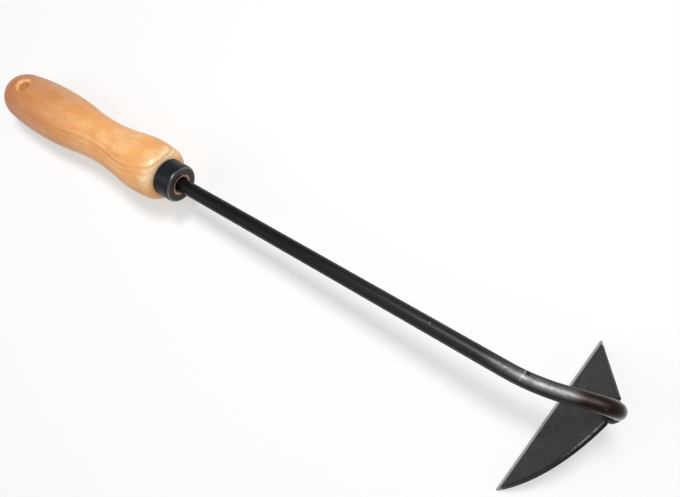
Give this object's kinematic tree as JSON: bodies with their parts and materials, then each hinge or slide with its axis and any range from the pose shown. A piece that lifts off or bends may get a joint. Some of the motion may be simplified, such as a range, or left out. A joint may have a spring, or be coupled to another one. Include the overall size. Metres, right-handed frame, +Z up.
{
  "type": "hand hoe",
  "caption": "One-handed garden hoe: turned wooden grip with a ferrule, offset steel rod, and a forged bevelled blade with one straight side and a curved back.",
  "frame": {"origin": "centre of the bounding box on the plane the tool lies on", "axes": "+X from the grip towards the blade, +Y towards the blade's short straight side, +Z up, with the tool resting on the swell of its grip and on its cutting edge"},
  "size_m": [0.4483, 0.1014, 0.0611],
  "materials": {
    "ash_wood": "satin",
    "ferrule_steel": "satin",
    "black_rod": "satin",
    "forged_blade": "satin",
    "weld_metal": "rough"
  },
  "bodies": {
    "root": {"grip": "ash_wood", "ferrule": "ferrule_steel", "shaft": "black_rod", "blade": "forged_blade", "neck_weld": "weld_metal"}
  },
  "joints": []
}
